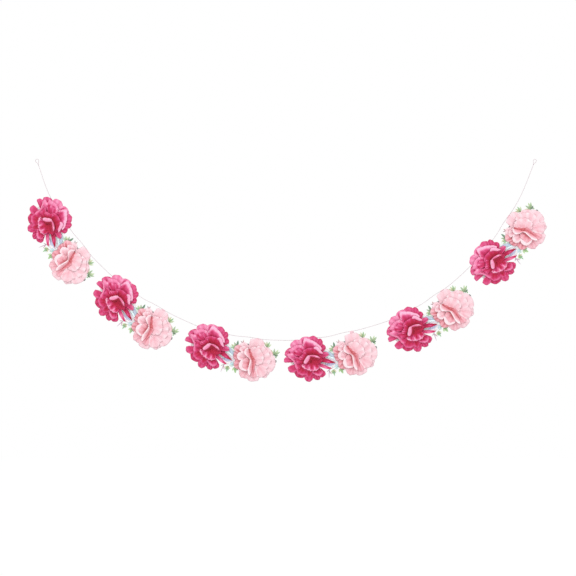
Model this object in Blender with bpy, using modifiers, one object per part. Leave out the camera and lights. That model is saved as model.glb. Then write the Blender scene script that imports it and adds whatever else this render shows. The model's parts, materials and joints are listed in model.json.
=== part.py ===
"""Paper flower garland: six pairs of paper flowers that swing on one string.

Each pair is a magenta and a pale pink flower on one die-cut card, with a spray of paper leaves
between. Two folded paper strips on the back of the card hang it on the string, and the string is
tied into a small loop at each end. X runs along the garland, Z is up and the flowers face -Y.
The origin lies midway between the two points that the end loops hang from.
"""
import math
from collections import namedtuple

import bmesh
import bpy
from mathutils import Matrix, Vector
from mathutils.geometry import interpolate_bezier

# String, with the loop and the knot that end it
STRING_DIAMETER = 0.0012
LOOP_LENGTH = 0.013
LOOP_WIDTH = 0.009
KNOT_LENGTH = 0.0042
KNOT_DIAMETER = 0.0036

# Route of the string, from the left hook to the right one: angles in degrees above +X, and the
# lengths that hang free before, between and after the pairs
LOOP_HEADINGS = (-71.5, 69.2)
TAIL_HEADINGS = (-67.4, 65.1)
TAIL_LENGTHS = (0.1608, 0.1806)
PAIR_HEADINGS = (-54.2, -32.0, -10.4, 9.5, 30.8, 53.9)
BRIDGE_HEADINGS = (-43.7, -23.8, -1.0, 17.7, 42.6)
BRIDGE_LENGTHS = (0.1257, 0.1315, 0.1178, 0.1338, 0.1354)
BEND_POINTS = 14

# How each pair hangs: turn of its card on the string in degrees, and how far the card lies below
# the string, as a share of the flower spacing
CARD_TURNS = (-9.5, -8.6, -7.0, -4.6, -5.2, -9.0)
CARD_DROP_SHARES = (0.352, 0.379, 0.384, 0.438, 0.403, 0.366)
# The flowers are heavier than the card, so a pair hangs with its top leaning out
LEAN = 6.2

# Flowers and the card behind them
FLOWER_SPACING = 0.1494
MAGENTA_RADIUS = 0.0665
PALE_RADIUS = 0.0655
PETAL_THICKNESS = 0.00035
CARD_THICKNESS = 0.0005
CARD_LOBE_SHARE = 0.74
CARD_WAIST = 0.052
LEAF_THICKNESS = 0.0003
GLUE_GAP = 0.0003

# Folded strips that hang a card on the string
SLEEVE_CLEARANCE = 0.00035
STRIP_PLY = 0.0003
STRIP_WIDTH = 0.012
STRIP_LENGTH = 0.030

# The string runs straight from past one hanging strip of a pair to past the other
STRIP_REACH_SHARE = 0.14
STRAIGHT_LENGTH = FLOWER_SPACING + 2 * STRIP_REACH_SHARE * MAGENTA_RADIUS
SLEEVE_RADIUS = STRING_DIAMETER / 2 + SLEEVE_CLEARANCE
STRIP_FRONT = SLEEVE_RADIUS + STRIP_PLY

# Heights above the string of the flat layers of a pair, towards the viewer
CARD_BACK = STRIP_FRONT + GLUE_GAP
LEAF_BACK = CARD_BACK + CARD_THICKNESS + GLUE_GAP
FLOWER_BACK = LEAF_BACK + LEAF_THICKNESS + GLUE_GAP

# Rims of the petals: each tip and each notch, as degrees and a share of the flower's radius. Two
# slim petals of the magenta flower's middle ring reach out towards the pale flower.
MAGENTA_RIM_SHARES = (
    (-167, 0.58), (-158, 0.93), (-149, 0.90), (-141, 0.95), (-135, 0.84), (-124, 0.92), (-113, 0.93),
    (-100, 0.83), (-93, 1.03), (-83, 1.06), (-73, 0.94), (-65, 1.13), (-59, 1.02), (-53, 1.08),
    (-42, 1.07), (-36, 0.90), (-20, 0.84), (-4, 0.86), (2, 0.98), (9, 1.05), (15, 0.96),
    (20, 0.86), (26, 1.04), (37, 1.02), (49, 1.12), (56, 1.04), (67, 1.11), (78, 1.01),
    (90, 1.07), (104, 1.01), (119, 0.98), (130, 0.99), (142, 0.94), (151, 0.99), (161, 1.00),
    (172, 0.99), (184, 1.03),
)
MIDDLE_RIM_SHARES = (
    (-180, 0.70), (-166, 0.64), (-152, 0.73), (-138, 0.63), (-124, 0.74), (-110, 0.64), (-96, 0.74),
    (-82, 0.63), (-68, 0.75), (-54, 0.64), (-42, 0.72), (-34, 0.62), (-29, 1.20), (-25, 1.25),
    (-20, 0.66), (-15, 1.22), (-11, 1.34), (-6, 0.66), (4, 0.72), (16, 0.63), (30, 0.75),
    (45, 0.64), (60, 0.74), (75, 0.63), (90, 0.75), (104, 0.64), (118, 0.74), (132, 0.64),
    (146, 0.73), (163, 0.63),
)
PALE_RIM_SHARES = (
    (-167, 0.84), (-155, 0.86), (-144, 0.90), (-131, 0.93), (-120, 0.92), (-108, 0.97), (-99, 0.96),
    (-88, 1.00), (-75, 1.02), (-65, 1.01), (-58, 0.88), (-49, 0.97), (-40, 1.00), (-27, 0.95),
    (-12, 0.99), (4, 1.03), (18, 0.99), (31, 1.00), (45, 0.99), (58, 0.95), (70, 0.98),
    (82, 1.02), (95, 1.03), (106, 1.05), (117, 1.02), (125, 0.80), (136, 0.99), (148, 1.03),
    (156, 0.97), (164, 1.08), (175, 1.00), (184, 0.95),
)

# All petals of a flower spread from its eye, which lies off the flower's centre: X and Y
MAGENTA_EYE_SHARES = (0.31, -0.12)
PALE_EYE_SHARES = (-0.08, 0.05)

# Each ring of petals: how wide it is and where its centre is, its rim or how many petals it has
# and how deep the notches between them are, how far it rises above the ring beneath, how steeply
# at the rim, how deep it flutes and its turn in degrees
Ring = namedtuple(
    "Ring",
    "name width_share centre_shares rim petals notch_share rise_share curl flute_share turn",
)
MAGENTA_RINGS = (
    Ring("magenta_outer_petals", 1.0, (0, 0), MAGENTA_RIM_SHARES, 11, 0, 0.12, 1.8, 0.3, 20),
    Ring("magenta_middle_petals", 0.74, (0, 0), MIDDLE_RIM_SHARES, 9, 0, 0.165, 1.6, 0.22, 5),
    Ring("magenta_heart", 0.42, (0.20, -0.16), None, 7, 0.16, 0.14, 1.4, 0.22, 50),
)
PALE_RINGS = (
    Ring("pale_outer_petals", 1.0, (0, 0), PALE_RIM_SHARES, 10, 0, 0.12, 1.8, 0.28, 7),
    Ring("pale_inner_petals", 0.66, (-0.05, 0.02), None, 8, 0.16, 0.23, 1.6, 0.25, 30),
)
RING_STEPS = 4
POINTS_PER_PETAL = 3

# Leaves round the pale flower: degrees, reach and width as shares of the flower's radius
LEAF_SHARES = (
    (14, 1.06, 0.10), (35, 1.24, 0.14), (47, 1.14, 0.11), (60, 1.10, 0.11), (72, 1.14, 0.12),
    (134, 1.05, 0.10), (148, 1.14, 0.13), (163, 1.30, 0.14), (177, 1.22, 0.15), (192, 1.40, 0.16),
    (206, 1.46, 0.14), (217, 1.70, 0.08), (230, 1.10, 0.13),
)
LEAF_HUB_SHARE = 0.55
LEAF_STEM_SHARE = 0.05
LEAF_BELLY_SHARE = 0.6

# Colours and roughness of the papers and the string
COLOURS = {
    "string": (0.74, 0.55, 0.58, 0.8),
    "card": (0.86, 0.85, 0.84, 0.85),
    "leaf": (0.40, 0.50, 0.33, 0.85),
    "strip": (0.86, 0.85, 0.84, 0.85),
    "magenta_outer_petals": (0.72, 0.13, 0.29, 0.8),
    "magenta_middle_petals": (0.78, 0.20, 0.38, 0.8),
    "magenta_heart": (0.45, 0.03, 0.07, 0.8),
    "pale_outer_petals": (0.86, 0.58, 0.62, 0.8),
    "pale_inner_petals": (0.82, 0.44, 0.48, 0.8),
}


def clear_scene():
    for old in list(bpy.data.objects):
        bpy.data.objects.remove(old, do_unlink=True)


def paper(kind):
    red, green, blue, roughness = COLOURS[kind]
    material = bpy.data.materials.new(kind)
    material.use_nodes = True
    shader = material.node_tree.nodes["Principled BSDF"]
    shader.inputs["Base Color"].default_value = (red, green, blue, 1)
    shader.inputs["Roughness"].default_value = roughness
    return material


def place(name, data, collection, parent=None):
    piece = bpy.data.objects.new(name, data)
    collection.objects.link(piece)
    piece.parent = parent
    return piece


def heading(degrees):
    """Unit vector at this angle above +X, in the plane of the string."""
    angle = math.radians(degrees)
    return Vector((math.cos(angle), 0, math.sin(angle)))


def walk_string():
    """Both hooks, and the two ends of the straight stretch behind each pair."""
    point = Vector((0, 0, 0))
    hooks = [point]
    stretches = []
    frees = list(zip(TAIL_HEADINGS[:1] + BRIDGE_HEADINGS, TAIL_LENGTHS[:1] + BRIDGE_LENGTHS))
    for (free_heading, free_length), pair_heading in zip(frees, PAIR_HEADINGS):
        start = point + heading(free_heading) * free_length
        point = start + heading(pair_heading) * STRAIGHT_LENGTH
        stretches.append((start, point))
    hooks.append(point + heading(TAIL_HEADINGS[1]) * TAIL_LENGTHS[1])
    middle = (hooks[0] + hooks[1]) / 2
    hooks = [hook - middle for hook in hooks]
    return hooks, [(start - middle, end - middle) for start, end in stretches]


def bend(start, start_degrees, end, end_degrees):
    """Points of a smooth bend between two ends whose headings are given."""
    reach = (end - start).length / 3
    leave = start + heading(start_degrees) * reach
    arrive = end - heading(end_degrees) * reach
    return interpolate_bezier(start, leave, arrive, end, BEND_POINTS)


def tube(name, points, material, closed=False):
    curve = bpy.data.curves.new(name, "CURVE")
    curve.dimensions = "3D"
    curve.bevel_depth = STRING_DIAMETER / 2
    curve.bevel_resolution = 2
    curve.use_fill_caps = True
    spline = curve.splines.new("POLY")
    spline.points.add(len(points) - 1)
    for target, point in zip(spline.points, points):
        target.co = (*point, 1)
    spline.use_cyclic_u = closed
    curve.materials.append(material)
    return curve


def loop_points():
    """A drop-shaped loop that narrows towards its knot, with the hook at its origin."""
    half_length = LOOP_LENGTH / 2
    points = []
    for step in range(24):
        angle = math.tau * step / 24
        narrowing = 1 - 0.3 * math.cos(angle)
        across = LOOP_WIDTH / 2 * math.sin(angle) * narrowing
        along = half_length * math.cos(angle) + half_length - STRING_DIAMETER / 2
        points.append(Vector((along, 0, across)))
    return points


def knot_mesh(material):
    mesh = bpy.data.meshes.new("knot")
    form = bmesh.new()
    bmesh.ops.create_uvsphere(form, u_segments=12, v_segments=8, radius=0.5)
    size = (KNOT_DIAMETER, KNOT_DIAMETER, KNOT_LENGTH)
    bmesh.ops.scale(form, vec=size, verts=form.verts)
    turn = Matrix.Rotation(math.radians(90), 3, "Y")
    bmesh.ops.rotate(form, matrix=turn, verts=form.verts)
    form.to_mesh(mesh)
    form.free()
    mesh.shade_smooth()
    mesh.materials.append(material)
    return mesh


def hang_string(collection):
    """The string and, at each end, its knot and its loop."""
    material = paper("string")
    hooks, stretches = walk_string()
    knot_start = LOOP_LENGTH + GLUE_GAP
    string_start = knot_start + KNOT_LENGTH + GLUE_GAP
    first = hooks[0] + heading(LOOP_HEADINGS[0]) * string_start
    last = hooks[1] - heading(LOOP_HEADINGS[1]) * string_start
    route = []
    point, degrees = first, LOOP_HEADINGS[0]
    for (start, end), pair_heading in zip(stretches, PAIR_HEADINGS):
        route += bend(point, degrees, start, pair_heading)
        point, degrees = end, pair_heading
    route += bend(point, degrees, last, LOOP_HEADINGS[1])
    place("string", tube("string", route, material), collection)

    loop = tube("loop", loop_points(), material, closed=True)
    knot = knot_mesh(material)
    for side, hook, degrees in zip(("left", "right"), hooks, (LOOP_HEADINGS[0], LOOP_HEADINGS[1] + 180)):
        end_frame = place(side + "_end", None, collection)
        end_frame.location = hook
        end_frame.rotation_euler = (0, -math.radians(degrees), 0)
        place(side + "_loop", loop, collection, end_frame)
        tied = place(side + "_knot", knot, collection, end_frame)
        tied.location = (knot_start + KNOT_LENGTH / 2, 0, 0)
    return stretches


def flat_sheet(name, outlines, thickness, material):
    """A flat piece cut to closed outlines in XY, centred on its own plane."""
    curve = bpy.data.curves.new(name, "CURVE")
    curve.dimensions = "2D"
    curve.fill_mode = "BOTH"
    curve.extrude = thickness / 2
    for outline in outlines:
        spline = curve.splines.new("POLY")
        spline.points.add(len(outline) - 1)
        for target, (x, y) in zip(spline.points, outline):
            target.co = (x, y, 0, 1)
        spline.use_cyclic_u = True
    curve.materials.append(material)
    return curve


def arc(centre, radius, start_degrees, end_degrees, steps):
    points = []
    for step in range(steps + 1):
        angle = math.radians(start_degrees + (end_degrees - start_degrees) * step / steps)
        points.append((centre[0] + radius * math.cos(angle), centre[1] + radius * math.sin(angle)))
    return points


def card_sheet():
    """The die-cut card: a round lobe behind each flower, joined by a waist."""
    magenta_lobe = CARD_LOBE_SHARE * MAGENTA_RADIUS
    pale_lobe = CARD_LOBE_SHARE * PALE_RADIUS
    left = math.degrees(math.asin(min(CARD_WAIST / 2 / magenta_lobe, 1)))
    right = math.degrees(math.asin(min(CARD_WAIST / 2 / pale_lobe, 1)))
    outline = arc((-FLOWER_SPACING / 2, 0), magenta_lobe, left, 360 - left, 24)
    outline += arc((FLOWER_SPACING / 2, 0), pale_lobe, right - 180, 180 - right, 24)
    return flat_sheet("card", [outline], CARD_THICKNESS, paper("card"))


def leaf_sheet():
    """One die-cut sheet of leaves that spread from a hub behind the pale flower."""
    hub = LEAF_HUB_SHARE * PALE_RADIUS
    stem = LEAF_STEM_SHARE * PALE_RADIUS
    outline = []
    for degrees, reach_share, width_share in LEAF_SHARES:
        out = Vector((math.cos(math.radians(degrees)), math.sin(math.radians(degrees))))
        side = Vector((-out.y, out.x))
        reach = reach_share * PALE_RADIUS
        belly = hub + (reach - hub) * LEAF_BELLY_SHARE
        half_width = width_share * PALE_RADIUS / 2
        outline.append(out * hub - side * stem / 2)
        outline.append(out * belly - side * half_width)
        outline.append(out * reach)
        outline.append(out * belly + side * half_width)
        outline.append(out * hub + side * stem / 2)
    return flat_sheet("leaf", [outline], LEAF_THICKNESS, paper("leaf"))


def strip_sheet():
    """Section of a strip of paper folded round the string and glued to itself below it."""
    two_plies = 2 * STRIP_PLY
    behind = STRIP_FRONT - two_plies
    meet = math.degrees(math.asin(behind / STRIP_FRONT))
    outline = arc((0, 0), STRIP_FRONT, 0, 270 - meet, 14)
    outline.append((behind, -STRIP_LENGTH))
    outline.append((STRIP_FRONT, -STRIP_LENGTH))
    bore = arc((0, 0), SLEEVE_RADIUS, 0, 337.5, 15)
    return outline, bore


def ring_rim(ring, radius, eye):
    """Angle and distance, from the flower's eye, of each tip and notch round a ring of petals."""
    tips = ring.rim
    if not tips:
        steps = ring.petals * POINTS_PER_PETAL
        tips = []
        for step in range(steps):
            degrees = 360 * step / steps
            notch = abs(math.sin(math.radians(degrees - ring.turn) * ring.petals / 2))
            tips.append((degrees, ring.width_share * (1 - ring.notch_share * notch)))
    to_eye = eye - Vector(ring.centre_shares) * radius
    rim = []
    for degrees, share in tips:
        angle = math.radians(degrees)
        tip = Vector((math.cos(angle), math.sin(angle))) * share * radius - to_eye
        rim.append((math.atan2(tip.y, tip.x), tip.length))
    return rim


def ring_reach(ring, radius, eye, angle):
    """Distance from the eye to the plain circle round a ring of petals, in this direction."""
    to_eye = eye - Vector(ring.centre_shares) * radius
    ahead = to_eye.dot(Vector((math.cos(angle), math.sin(angle))))
    chord = (ring.width_share * radius) ** 2 - to_eye.length_squared + ahead**2
    return math.sqrt(chord) - ahead


def petal_ring(ring, radius, eye, beneath):
    """A ring of petals: a turned sheet, notched at the rim and fluted, above those beneath it."""
    rim = ring_rim(ring, radius, eye)
    mesh = bpy.data.meshes.new(ring.name)
    form = bmesh.new()
    profile = [form.verts.new((step / RING_STEPS, 0, 0)) for step in range(RING_STEPS + 1)]
    edges = [form.edges.new(pair) for pair in zip(profile, profile[1:])]
    turned = profile + edges
    bmesh.ops.spin(form, geom=turned, cent=(0, 0, 0), axis=(0, 0, 1), angle=math.tau, steps=len(rim))
    bmesh.ops.remove_doubles(form, verts=form.verts, dist=0.001)
    for vert in form.verts:
        spoke = round(math.atan2(vert.co.y, vert.co.x) / math.tau * len(rim)) % len(rim)
        angle, reach = rim[spoke]
        out = vert.co.xy.length * reach
        height = sum(petal_rise(layer, radius, eye, out, angle) for layer in (*beneath, ring))
        vert.co = (eye.x + out * math.cos(angle), eye.y + out * math.sin(angle), height)
    bmesh.ops.recalc_face_normals(form, faces=form.faces)
    if sum(face.normal.z for face in form.faces) < 0:
        bmesh.ops.reverse_faces(form, faces=form.faces)
    form.to_mesh(mesh)
    form.free()
    mesh.shade_smooth()
    mesh.materials.append(paper(ring.name))
    return mesh


def petal_rise(ring, radius, eye, out, angle):
    """How far a ring of petals stands above the one beneath it, at this place."""
    share = min(out / ring_reach(ring, radius, eye, angle), 1)
    flute = math.sin(angle * ring.petals + math.radians(ring.turn))
    return ring.rise_share * radius * share**ring.curl * (1 + ring.flute_share * flute)


def add_petals(number, data, height, x, collection, sheet_frame):
    petals = place(f"{data.name}_{number}", data, collection, sheet_frame)
    petals.location = (x, 0, height)
    thickness = petals.modifiers.new("paper thickness", "SOLIDIFY")
    thickness.thickness = PETAL_THICKNESS
    thickness.offset = 1
    thickness.use_even_offset = True


def flower_meshes():
    """Mesh, height of its back above the string, and X on the card, of each ring of petals."""
    meshes = []
    flowers = (
        (MAGENTA_RINGS, MAGENTA_RADIUS, MAGENTA_EYE_SHARES, -1),
        (PALE_RINGS, PALE_RADIUS, PALE_EYE_SHARES, 1),
    )
    for rings, radius, eye_shares, side in flowers:
        for layer, ring in enumerate(rings):
            mesh = petal_ring(ring, radius, Vector(eye_shares) * radius, rings[:layer])
            height = FLOWER_BACK + layer * (PETAL_THICKNESS + GLUE_GAP)
            meshes.append((mesh, height, side * FLOWER_SPACING / 2))
    return meshes


def hang_pairs(stretches, collection):
    """Six copies of the flower pair, each in a frame that turns about its stretch of string."""
    card = card_sheet()
    leaf = leaf_sheet()
    strip = flat_sheet("strip", strip_sheet(), STRIP_WIDTH, paper("strip"))
    flowers = flower_meshes()
    # Turns the section of a strip so that its X faces the viewer and its Z runs along the string
    section_turn = Matrix(((0, 0, 1), (-1, 0, 0), (0, 1, 0))).to_euler()
    hung = zip(stretches, PAIR_HEADINGS, CARD_TURNS, CARD_DROP_SHARES)
    for number, ((start, end), degrees, turn, drop_share) in enumerate(hung, 1):
        axis_frame = place(f"swing_axis_{number}", None, collection)
        axis_frame.location = (start + end) / 2
        axis_frame.rotation_euler = (0, -math.radians(degrees), 0)
        lean_frame = place(f"lean_{number}", None, collection, axis_frame)
        lean_frame.rotation_euler = (math.radians(LEAN), 0, 0)
        sheet_frame = place(f"card_frame_{number}", None, collection, lean_frame)
        sheet_frame.location = (0, 0, -drop_share * FLOWER_SPACING)
        sheet_frame.rotation_euler = (math.radians(90), -math.radians(turn), 0)

        back = place(f"flower_card_{number}", card, collection, sheet_frame)
        back.location = (0, 0, CARD_BACK + CARD_THICKNESS / 2)
        leaves = place(f"leaf_spray_{number}", leaf, collection, sheet_frame)
        leaves.location = (FLOWER_SPACING / 2, 0, LEAF_BACK + LEAF_THICKNESS / 2)
        for mesh, height, x in flowers:
            add_petals(number, mesh, height, x, collection, sheet_frame)
        for side, sign in (("left", -1), ("right", 1)):
            hanger = place(f"{side}_hanging_strip_{number}", strip, collection, lean_frame)
            along = sign * FLOWER_SPACING / 2 * math.cos(math.radians(turn))
            hanger.location = (along, 0, 0)
            hanger.rotation_euler = section_turn


def main():
    clear_scene()
    collection = bpy.data.collections.new("paper_flower_garland")
    bpy.context.scene.collection.children.link(collection)
    hang_pairs(hang_string(collection), collection)


main()
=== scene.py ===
"""Looks of the paper flower garland: ruffled petals, die-cut leaves, card and twisted string."""
import json
import math
import random
from collections import namedtuple

import bmesh
import bpy
from mathutils import Matrix, Vector
from mathutils.geometry import interpolate_bezier


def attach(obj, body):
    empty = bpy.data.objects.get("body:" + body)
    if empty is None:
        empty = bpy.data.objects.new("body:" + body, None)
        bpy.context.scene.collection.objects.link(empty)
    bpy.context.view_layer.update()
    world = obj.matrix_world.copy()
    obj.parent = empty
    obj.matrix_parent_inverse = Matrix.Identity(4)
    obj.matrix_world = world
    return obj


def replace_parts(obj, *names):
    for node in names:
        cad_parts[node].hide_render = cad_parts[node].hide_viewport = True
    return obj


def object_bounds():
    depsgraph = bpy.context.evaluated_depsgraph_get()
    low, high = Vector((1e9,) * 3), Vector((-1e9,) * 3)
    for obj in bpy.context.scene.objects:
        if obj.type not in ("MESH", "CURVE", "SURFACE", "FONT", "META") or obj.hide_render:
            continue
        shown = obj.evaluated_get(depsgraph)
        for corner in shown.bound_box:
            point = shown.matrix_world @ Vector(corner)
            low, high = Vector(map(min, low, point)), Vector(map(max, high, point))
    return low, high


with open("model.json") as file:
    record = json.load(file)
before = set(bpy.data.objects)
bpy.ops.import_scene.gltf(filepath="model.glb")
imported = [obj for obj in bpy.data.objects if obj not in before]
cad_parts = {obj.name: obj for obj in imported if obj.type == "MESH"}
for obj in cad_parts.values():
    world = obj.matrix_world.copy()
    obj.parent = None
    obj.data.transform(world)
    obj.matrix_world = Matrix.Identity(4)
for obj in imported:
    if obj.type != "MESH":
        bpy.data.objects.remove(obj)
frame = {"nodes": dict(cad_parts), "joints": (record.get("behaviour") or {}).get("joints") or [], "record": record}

CAD_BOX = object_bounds()
JOINTS = {joint["name"]: joint for joint in frame["joints"]}
MOUNTS = {mount["name"]: mount for mount in frame["record"]["mounts"]}
MM = 0.001

# Route of the string, as in the part: angles in degrees above +X and free lengths in metres
LOOP_HEADINGS = (-71.5, 69.2)
TAIL_HEADINGS = (-67.4, 65.1)
TAIL_LENGTHS = (0.1608, 0.1806)
BEND_POINTS = 14
# How far a bend keeps to its two directions, as a share of its chord: the string hangs rounder at
# its ends than between two pairs
TAIL_REACH = 1 / 3
FREE_REACH = 0.15
# Between a pair's two strips it hangs this slack, from this far inside its straight stretch
SLACK_DEPTH = 0.0042
SLEEVE_LENGTH = 0.0163

# String, loops and knots. A knot is a trefoil: TREFOIL_SPAN is its width before it is scaled, and
# KNOT_RISE how far its strands pass over and under each other in the same measure
STRING_DIAMETER = 0.0012
TWIST_LENGTH = 0.0055
TWIST_STEP = 0.0005
PLY_SIDES = 7
LOOP_LENGTH = 0.013
LOOP_WIDTH = 0.009
LOOP_NARROWING = 0.3
LOOP_POINTS = 48
KNOT_LENGTH = 0.0042
KNOT_DIAMETER = 0.0036
KNOT_RISE = 1.6
KNOT_POINTS = 60
TREFOIL_SPAN = 6
GLUE_GAP = 0.0003

# The pairs, as in the part
PAIRS = range(1, 7)
FLOWER_SPACING = 0.1494
MAGENTA_RADIUS = 0.0665
STRIP_REACH_SHARE = 0.14
STRAIGHT_LENGTH = FLOWER_SPACING + 2 * STRIP_REACH_SHARE * MAGENTA_RADIUS
CARD_TURNS = (-9.5, -8.6, -7.0, -4.6, -5.2, -9.0)
CARD_THICKNESS = 0.0005
PAPER_THICKNESS = 0.00022

# Strength of the daylight, the two lamps (name, place, size and power), and the floor
DAYLIGHT = 0.86
LAMPS = (
    ("key light", (-1.9, -3.8, 2.3), 3.4, 92),
    ("fill light", (2.8, -3.0, 0.4), 2.6, 28),
)
LAMP_AIM = (0, 0, -0.35)
FLOOR_HALF_WIDTH = 6
FLOOR_DROP = 0.75
FLOOR_WHITE = 1.025
FLOOR_WHITE_SHARE = 0.93

# Camera, straight in front of the garland
CAMERA_CENTRE = (0.0061, -0.3889)
CAMERA_DISTANCE = 6.0
CAMERA_REACH = 100
PICTURE_WIDTH = 1.743
SENSOR_WIDTH = 36.0

# For the phase of each petal's ruffles and the tint of each leaf
SEED = 7


# The string's route, worked out from the swing axes of the pairs


def heading(degrees):
    """Unit vector at this angle above +X, in the plane of the string."""
    angle = math.radians(degrees)
    return Vector((math.cos(angle), 0, math.sin(angle)))


def bend(start, start_direction, end, end_direction, share):
    """Points of a smooth bend between two ends whose directions are given."""
    reach = (end - start).length * share
    return interpolate_bezier(
        start, start + start_direction * reach, end - end_direction * reach, end, BEND_POINTS
    )


def slack(start, end, along):
    """Points of the string between a pair's two strips, where it hangs a little below their line."""
    start, end = start + along * SLEEVE_LENGTH, end - along * SLEEVE_LENGTH
    drop = Vector((0, 1, 0)).cross(along) * SLACK_DEPTH
    shares = [step / (BEND_POINTS - 1) for step in range(BEND_POINTS)]
    return [start.lerp(end, share) + drop * math.sin(math.pi * share) ** 3 for share in shares]


def string_route():
    """Points of the string from its left knot to its right one, and the two hook points."""
    stretches = []
    for number in PAIRS:
        joint = JOINTS[f"flower_pair_{number}_swing"]
        middle, along = Vector(joint["pos_m"]), Vector(joint["axis"])
        half = along * STRAIGHT_LENGTH / 2
        stretches.append((middle - half, middle + half, along))
    left = stretches[0][0] - heading(TAIL_HEADINGS[0]) * TAIL_LENGTHS[0]
    right = stretches[-1][1] + heading(TAIL_HEADINGS[1]) * TAIL_LENGTHS[1]
    tied = LOOP_LENGTH + KNOT_LENGTH + 2 * GLUE_GAP
    point, direction = left + heading(LOOP_HEADINGS[0]) * tied, heading(LOOP_HEADINGS[0])
    route = []
    for start, end, along in stretches:
        route += bend(point, direction, start, along, FREE_REACH if route else TAIL_REACH)
        route += slack(start, end, along)
        point, direction = end, along
    last = heading(LOOP_HEADINGS[1])
    route += bend(point, direction, right - last * tied, last, TAIL_REACH)
    return route, left, right


# Small helpers


def new_object(name, data):
    """An object in the scene."""
    made = bpy.data.objects.new(name, data)
    bpy.context.scene.collection.objects.link(made)
    return made


def feed(tree, socket, value):
    """Link a socket to another one, or set its value."""
    if isinstance(value, bpy.types.NodeSocket):
        tree.links.new(value, socket)
    else:
        socket.default_value = value


def add(tree, kind, **values):
    """A new node; a value that is a socket is linked, any other is set."""
    node = tree.nodes.new(kind)
    for name, value in values.items():
        if hasattr(node, name) and name not in node.inputs:
            setattr(node, name, value)
            continue
        feed(tree, node.inputs[name.replace("_", " ")], value)
    return node


def compute(tree, operation, *values):
    """Result of a sum on numbers."""
    node = add(tree, "ShaderNodeMath", operation=operation)
    for socket, value in zip(node.inputs, values):
        feed(tree, socket, value)
    return node.outputs[0]


def compute_vector(tree, operation, first, second):
    """Result of a sum on a vector and another vector or, to scale it, a number."""
    node = add(tree, "ShaderNodeVectorMath", operation=operation)
    tree.links.new(first, node.inputs[0])
    tree.links.new(second, node.inputs["Scale" if operation == "SCALE" else 1])
    return node.outputs[0]


def blend_colours(tree, factor, first, second, kind="MIX"):
    """Two colours mixed or multiplied."""
    node = add(tree, "ShaderNodeMix", data_type="RGBA", blend_type=kind)
    # A mix node for colours takes its factor at socket 0 and the two colours at 6 and 7
    for index, value in ((0, factor), (6, first), (7, second)):
        feed(tree, node.inputs[index], value)
    return node.outputs[2]


def colour_steps(tree, factor, steps):
    """A colour ramp through (place, colour) steps."""
    node = tree.nodes.new("ShaderNodeValToRGB")
    ramp = node.color_ramp
    ramp.interpolation = "EASE"
    while len(ramp.elements) < len(steps):
        ramp.elements.new(0.5)
    for element, (place, colour) in zip(ramp.elements, steps):
        element.position = place
        element.color = (*colour, 1)
    tree.links.new(factor, node.inputs[0])
    return node.outputs[0]


def mix_shaders(tree, factor, first, second, output):
    """Two shaders mixed, as the surface of an output."""
    mix = tree.nodes.new("ShaderNodeMixShader")
    for socket, value in zip(mix.inputs, (factor, first.outputs[0], second.outputs[0])):
        tree.links.new(value, socket)
    tree.links.new(mix.outputs[0], output.inputs[0])


def shade(red, green, blue):
    """Linear colour of a colour seen on a screen, 0 to 255."""
    return tuple(((value / 255 + 0.055) / 1.055) ** 2.4 for value in (red, green, blue))


def new_group(name, tree_kind, inputs, outputs):
    """A node group with these sockets, (name, kind), and its two ends."""
    group = bpy.data.node_groups.new(name, tree_kind)
    for way, sockets in (("INPUT", inputs), ("OUTPUT", outputs)):
        for socket, kind in sockets:
            group.interface.new_socket(socket, in_out=way, socket_type="NodeSocket" + kind)
    return group, group.nodes.new("NodeGroupInput").outputs, group.nodes.new("NodeGroupOutput")


def paper_fibre_group():
    """Fibre of plain paper: a soft cloudiness for its colour and a fine tooth for its surface."""
    inputs = (("Position", "Vector"), ("Cloud Scale", "Float"))
    outputs = (("Cloud", "Float"), ("Tooth", "Float"))
    group, given, result = new_group("paper fibre", "ShaderNodeTree", inputs, outputs)
    place, cloud_scale = given["Position"], given["Cloud Scale"]
    cloud = add(group, "ShaderNodeTexNoise", Vector=place, Scale=cloud_scale, Detail=3.0)
    tooth = add(group, "ShaderNodeTexNoise", Vector=place, Scale=2600.0, Detail=4.0)
    group.links.new(cloud.outputs[0], result.inputs["Cloud"])
    group.links.new(tooth.outputs[0], result.inputs["Tooth"])
    return group


def crepe_group():
    """Fine creases that run along a petal from its foot to its rim, and its darker streaks."""
    inputs = [(name, "Float") for name in ("Across", "Along", "Petal")]
    outputs = (("Crease", "Float"), ("Streak", "Float"))
    group, given, result = new_group("crepe creases", "ShaderNodeTree", inputs, outputs)
    own = compute(group, "MULTIPLY", given["Petal"], 37.0)
    for name, wide_scale, long_scale, detail, roughness in (
        ("Crease", 26.0, 2.2, 4.0, 0.6),
        ("Streak", 7.0, 1.3, 3.0, 0.5),
    ):
        wide = compute(group, "MULTIPLY", given["Across"], wide_scale)
        long = compute(group, "MULTIPLY", given["Along"], long_scale)
        place = add(group, "ShaderNodeCombineXYZ", X=wide, Y=long, Z=own).outputs[0]
        noise = add(group, "ShaderNodeTexNoise", Vector=place, Scale=1.0, Detail=detail)
        noise.inputs["Roughness"].default_value = roughness
        group.links.new(noise.outputs[0], result.inputs[name])
    return group


PAPER_FIBRE = paper_fibre_group()
CREPE = crepe_group()


# Materials


def blank_material(name, roughness):
    """A dull material, its node tree and its shader."""
    material = bpy.data.materials.new(name)
    material.use_nodes = True
    shader = material.node_tree.nodes["Principled BSDF"]
    shader.inputs["Roughness"].default_value = roughness
    shader.inputs["Specular IOR Level"].default_value = 0.25
    return material, material.node_tree, shader


def use_fibre(tree, cloud_scale):
    """Cloud and tooth of paper, fixed to the piece so that they turn with it."""
    place = add(tree, "ShaderNodeTexCoord").outputs["Object"]
    fibre = add(tree, "ShaderNodeGroup", node_tree=PAPER_FIBRE, Position=place, Cloud_Scale=cloud_scale)
    return fibre.outputs


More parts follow.
